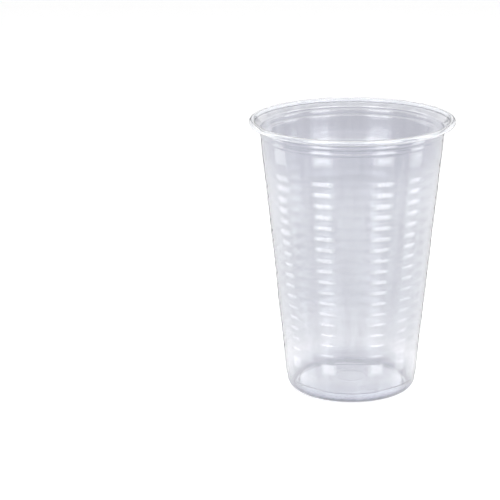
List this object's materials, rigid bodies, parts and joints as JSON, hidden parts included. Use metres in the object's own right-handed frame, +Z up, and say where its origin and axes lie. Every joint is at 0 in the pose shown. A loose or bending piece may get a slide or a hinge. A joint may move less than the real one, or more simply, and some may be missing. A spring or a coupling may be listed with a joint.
{
  "type": "disposable drinking cup",
  "caption": "Clear thin-walled tapered drinking cup with a ringed side wall, rolled rim and recessed floor, for cold drinks.",
  "frame": {"origin": "centre of the flat ring that the cup stands on, at table height", "axes": "+Z up along the cup's axis, towards the mouth"},
  "size_m": [0.073, 0.073, 0.0992],
  "materials": {
    "cup_plastic": "clear thermoformed polypropylene, smooth and glossy with a slight haze"
  },
  "bodies": {
    "root": {"cup": "cup_plastic"}
  },
  "joints": []
}
